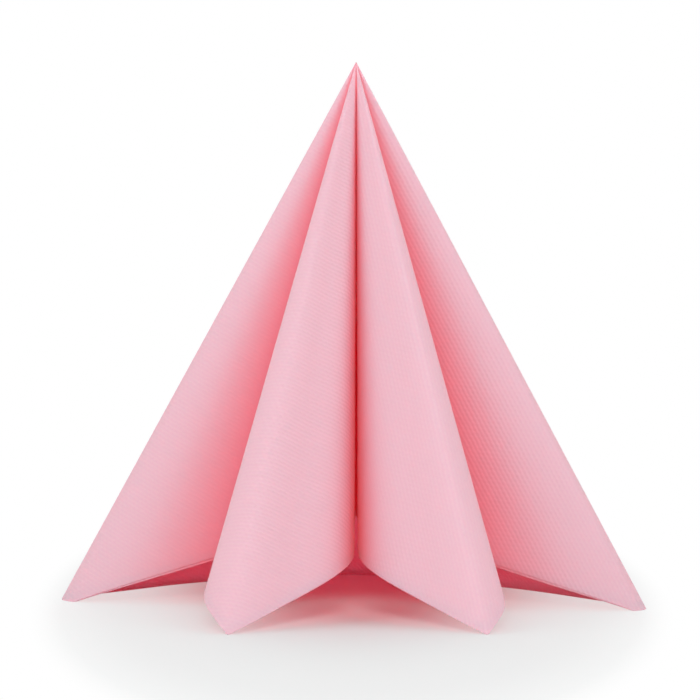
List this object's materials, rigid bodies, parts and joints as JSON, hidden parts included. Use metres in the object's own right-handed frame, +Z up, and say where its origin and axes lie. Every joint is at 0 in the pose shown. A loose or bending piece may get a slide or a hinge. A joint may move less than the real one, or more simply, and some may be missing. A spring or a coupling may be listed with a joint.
{
  "type": "folded party napkin",
  "caption": "Square embossed paper napkin folded into a standing cone of four rounded lobes with pleats between them.",
  "frame": {"origin": "on the table, at the middle of the part's bounding box base", "axes": "+Z up to the peak, -Y towards the front with its centre pleat, +X to the right along the wings"},
  "size_m": [0.1896, 0.1632, 0.1732],
  "materials": {
    "airlaid_paper": "soft matt pink, fine ribbed emboss"
  },
  "bodies": {
    "root": {"folded_napkin": "airlaid_paper"}
  },
  "joints": []
}
